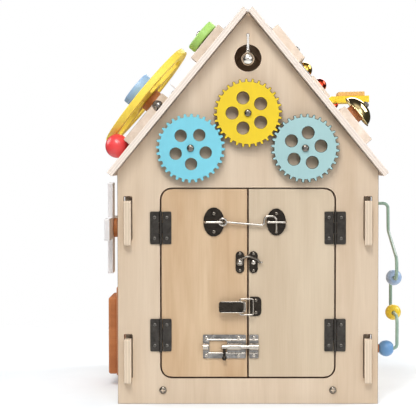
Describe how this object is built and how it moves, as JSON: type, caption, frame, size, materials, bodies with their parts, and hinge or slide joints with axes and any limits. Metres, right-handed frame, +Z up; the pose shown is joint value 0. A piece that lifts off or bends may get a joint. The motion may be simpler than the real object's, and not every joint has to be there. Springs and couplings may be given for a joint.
{
  "type": "toy activity house",
  "caption": "Toy activity house with latched double doors, meshing gable gears, a bell, a roof steering wheel and flap, a wall windmill and a wire of sliding beads.",
  "frame": {"origin": "middle of the front panel's bottom edge, halfway through its thickness, on the floor", "axes": "+Z up, -Y out of the front with the doors, +X to the right seen from the front"},
  "size_m": [0.366, 0.33, 0.4556],
  "materials": {
    "birch": "matt",
    "door_birch": "satin",
    "pale_birch": "matt",
    "brown_wood": "satin",
    "yellow_wood": "satin",
    "cyan_wood": "satin",
    "teal_wood": "satin",
    "green_wood": "satin",
    "blue_wood": "satin",
    "red_wood": "gloss",
    "white_wood": "satin",
    "steel": "brushed",
    "chrome": "polished",
    "black_metal": "satin",
    "gold": "polished",
    "red_metal": "gloss",
    "wire_paint": "satin",
    "cord": "matt"
  },
  "bodies": {
    "house": {"front_panel": "birch", "back_panel": "birch", "left_side_panel": "birch", "right_side_panel": "birch", "base_board": "birch", "left_ridge_board": "birch", "right_ridge_board": "birch", "wheel_board": "birch", "bell_board": "birch", "left_roof_panel": "pale_birch", "right_roof_panel": "pale_birch", "thin_board": "pale_birch", "wall_block": "brown_wood", "flap_base": "yellow_wood", "white_block": "white_wood", "yellow_gear_bolt": "steel", "cyan_gear_bolt": "steel", "teal_gear_bolt": "steel", "windmill_bolt": "steel", "roof_bell": "chrome", "left_lower_frame_leaf": "black_metal", "left_upper_frame_leaf": "black_metal", "right_lower_frame_leaf": "black_metal", "right_upper_frame_leaf": "black_metal", "gold_dome": "gold", "red_dome": "red_metal", "bead_wire": "wire_paint"},
    "left_door": {"left_door_panel": "door_birch", "left_lower_door_leaf": "black_metal", "left_upper_door_leaf": "black_metal", "cabin_hook_plate": "black_metal", "small_hook_plate": "black_metal", "toggle_base": "black_metal", "bolt_plate": "steel"},
    "right_door": {"right_door_panel": "pale_birch", "right_lower_door_leaf": "black_metal", "right_upper_door_leaf": "black_metal", "cabin_keeper_plate": "black_metal", "small_catch_plate": "black_metal", "toggle_strike": "black_metal", "bolt_keeper": "steel"},
    "cabin_hook": {"cabin_hook": "steel"},
    "small_hook": {"small_hook": "steel"},
    "toggle_lever": {"toggle_lever": "black_metal"},
    "toggle_bail": {"toggle_bail": "steel"},
    "bolt_rod": {"bolt_rod": "steel"},
    "yellow_gear": {"yellow_gear": "yellow_wood"},
    "cyan_gear": {"cyan_gear": "cyan_wood"},
    "teal_gear": {"teal_gear": "teal_wood"},
    "hanging_bell": {"hanging_bell": "chrome", "bell_cord": "cord"},
    "windmill": {"windmill_sails": "white_wood"},
    "upper_bead": {"upper_bead": "blue_wood"},
    "lower_bead": {"lower_bead": "yellow_wood"},
    "foot_bead": {"foot_bead": "blue_wood"},
    "steering_wheel": {"steering_wheel": "yellow_wood", "wheel_cap": "blue_wood"},
    "green_disc": {"green_disc": "green_wood"},
    "red_ball": {"red_ball": "red_wood"},
    "yellow_flap": {"yellow_flap": "yellow_wood"}
  },
  "joints": [
    {"name": "left_door_hinge", "type": "hinge", "parent": "house", "child": "left_door", "pos_m": [-0.10025, -0.0062, 0.14], "axis": [0, 0, -1], "range_deg": [0, 160]},
    {"name": "right_door_hinge", "type": "hinge", "parent": "house", "child": "right_door", "pos_m": [0.10025, -0.0062, 0.14], "axis": [0, 0, 1], "range_deg": [0, 160]},
    {"name": "cabin_hook_lift", "type": "hinge", "parent": "left_door", "child": "cabin_hook", "pos_m": [-0.02875, -0.00805, 0.2103], "axis": [0, -1, 0], "range_deg": [0, 85]},
    {"name": "small_hook_lift", "type": "hinge", "parent": "left_door", "child": "small_hook", "pos_m": [-0.0092, -0.0072, 0.164], "axis": [0, -1, 0], "range_deg": [0, 100]},
    {"name": "toggle_lever_swing", "type": "hinge", "parent": "left_door", "child": "toggle_lever", "pos_m": [-0.0045, -0.01, 0.113], "axis": [0, 0, 1], "range_deg": [0, 140]},
    {"name": "toggle_bail_swing", "type": "hinge", "parent": "toggle_lever", "child": "toggle_bail", "pos_m": [-0.009, -0.01, 0.113], "axis": [0, 0, 1], "range_deg": [-140, 0]},
    {"name": "bolt_slide", "type": "slide", "parent": "left_door", "child": "bolt_rod", "axis": [-1, 0, 0], "range_m": [0, 0.0132]},
    {"name": "yellow_gear_spin", "type": "hinge", "parent": "house", "child": "yellow_gear", "pos_m": [0, -0.011, 0.335], "axis": [0, -1, 0], "continuous": true},
    {"name": "cyan_gear_spin", "type": "hinge", "parent": "house", "child": "cyan_gear", "pos_m": [-0.0655, -0.011, 0.2949], "axis": [0, -1, 0], "continuous": true},
    {"name": "teal_gear_spin", "type": "hinge", "parent": "house", "child": "teal_gear", "pos_m": [0.0655, -0.011, 0.2949], "axis": [0, -1, 0], "continuous": true},
    {"name": "bell_swing", "type": "hinge", "parent": "house", "child": "hanging_bell", "pos_m": [0, -0.0054, 0.4244], "axis": [-1, 0, 0], "range_deg": [0, 75]},
    {"name": "windmill_spin", "type": "hinge", "parent": "house", "child": "windmill", "pos_m": [-0.172, 0.15, 0.196], "axis": [-1, 0, 0], "continuous": true},
    {"name": "upper_bead_slide", "type": "slide", "parent": "house", "child": "upper_bead", "axis": [0, 1, 0], "range_m": [-0.012, 0.019]},
    {"name": "lower_bead_slide", "type": "slide", "parent": "house", "child": "lower_bead", "axis": [0, 1, 0], "range_m": [-0.027, 0.012]},
    {"name": "foot_bead_spin", "type": "hinge", "parent": "house", "child": "foot_bead", "pos_m": [0.1649, 0.054, 0.0565], "axis": [1, 0, 0], "continuous": true},
    {"name": "steering_spin", "type": "hinge", "parent": "house", "child": "steering_wheel", "pos_m": [-0.10104, 0.1, 0.33986], "axis": [-0.7716, 0, 0.6361], "continuous": true},
    {"name": "disc_spin", "type": "hinge", "parent": "house", "child": "green_disc", "pos_m": [-0.03896, 0.06, 0.41517], "axis": [-0.7716, 0, 0.6361], "continuous": true},
    {"name": "ball_spin", "type": "hinge", "parent": "house", "child": "red_ball", "pos_m": [-0.14341, 0.05, 0.28847], "axis": [-0.7716, 0, 0.6361], "continuous": true},
    {"name": "flap_hinge", "type": "hinge", "parent": "house", "child": "yellow_flap", "pos_m": [0.10466, 0.158, 0.35607], "axis": [0, -1, 0], "range_deg": [-49, 70]}
  ],
  "couplings": [
    {"joint": "toggle_bail_swing", "follows": "toggle_lever_swing", "ratio": -1},
    {"joint": "cyan_gear_spin", "follows": "yellow_gear_spin", "ratio": -1},
    {"joint": "teal_gear_spin", "follows": "yellow_gear_spin", "ratio": -1}
  ]
}
